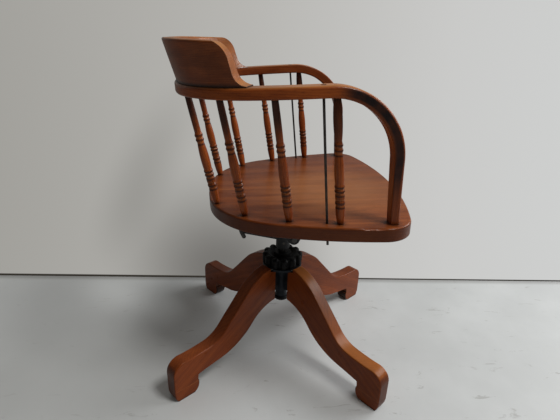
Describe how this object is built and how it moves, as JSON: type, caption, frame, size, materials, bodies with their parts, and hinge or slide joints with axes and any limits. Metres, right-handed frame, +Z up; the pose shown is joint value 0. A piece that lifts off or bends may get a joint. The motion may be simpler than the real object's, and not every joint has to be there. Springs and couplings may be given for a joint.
{
  "type": "bankers swivel chair",
  "caption": "Wooden swivel armchair with a bent arm bow, turned back spindles, a raised crest rail, a sprung tilt and screw height under the seat, and splayed legs.",
  "frame": {"origin": "on the floor under the middle of the column", "axes": "+Z up; the sitter looks along -Y, so +X is the sitter's left and +Y is behind the chair"},
  "size_m": [0.5746, 0.5746, 0.8047],
  "materials": {
    "arm_wood": "mid-brown bent wood, satin varnish, dark worn patch",
    "black_iron": "blackened cast iron",
    "crest_wood": "dark brown oak, satin varnish",
    "dowel_wood": "bare wood",
    "fastener_steel": "dull steel",
    "foot_wood": "red-brown satin varnish, scuffed",
    "hub_iron": "dark cast iron with a grey sheen",
    "leg_wood": "red-brown satin varnish, worn on the upper faces",
    "rod_steel": "dull steel",
    "screw_steel": "dark oiled steel",
    "seat_wood": "mid-brown oak, satin varnish",
    "spindle_wood": "mid-brown turned wood, satin varnish",
    "spring_steel": "oil-blackened spring steel"
  },
  "bodies": {
    "base": {"foot_block_front_left": "foot_wood", "foot_block_front_right": "foot_wood", "foot_block_rear_left": "foot_wood", "foot_block_rear_right": "foot_wood", "foot_block_screws": "fastener_steel", "hub_bottom_ring": "hub_iron", "hub_casting": "hub_iron", "leg_front_left": "leg_wood", "leg_front_right": "leg_wood", "leg_rear_left": "leg_wood", "leg_rear_right": "leg_wood", "leg_screws": "fastener_steel"},
    "swivel": {"thrust_washer": "fastener_steel"},
    "wheel": {"handwheel": "black_iron"},
    "spindle": {"screw_spindle": "screw_steel", "spindle_cross_pin": "fastener_steel", "tilt_yoke": "black_iron", "pivot_rod": "screw_steel", "pivot_rod_pin": "fastener_steel", "tilt_spring_left": "spring_steel", "tilt_spring_right": "spring_steel"},
    "seat": {"arm_bow": "arm_wood", "crest_dowels": "dowel_wood", "crest_rail": "crest_wood", "seat_board": "seat_wood", "seat_iron": "black_iron", "seat_iron_screws": "fastener_steel", "spindle_arm_left": "spindle_wood", "spindle_arm_right": "spindle_wood", "spindle_back_left": "spindle_wood", "spindle_back_right": "spindle_wood", "spindle_corner_left": "spindle_wood", "spindle_corner_right": "spindle_wood", "spindle_side_left": "spindle_wood", "spindle_side_right": "spindle_wood", "stop_hook": "screw_steel", "stop_hook_nut": "fastener_steel", "tie_rod_left": "rod_steel", "tie_rod_nuts": "fastener_steel", "tie_rod_right": "rod_steel", "tie_rod_washers": "fastener_steel"}
  },
  "joints": [
    {"name": "swivel", "type": "hinge", "parent": "base", "child": "swivel", "pos_m": [0, 0, 0.25], "axis": [0, 0, 1], "continuous": true},
    {"name": "wheel_turn", "type": "hinge", "parent": "swivel", "child": "wheel", "pos_m": [0, 0, 0.266], "axis": [0, 0, 1], "range_deg": [-4200, 480]},
    {"name": "height_lift", "type": "slide", "parent": "swivel", "child": "spindle", "axis": [0, 0, 1], "range_m": [-0.0081, 0.0701]},
    {"name": "tilt", "type": "hinge", "parent": "spindle", "child": "seat", "pos_m": [0, -0.02159, 0.34032], "axis": [-1, 0, 0], "range_deg": [0, 14], "stiffness_Nm_per_rad": 100, "springref_deg": -14.32, "deforming": ["tilt_spring_left", "tilt_spring_right"]}
  ],
  "couplings": [
    {"joint": "height_lift", "follows": "wheel_turn", "m_per_rad": -0.00095493}
  ]
}
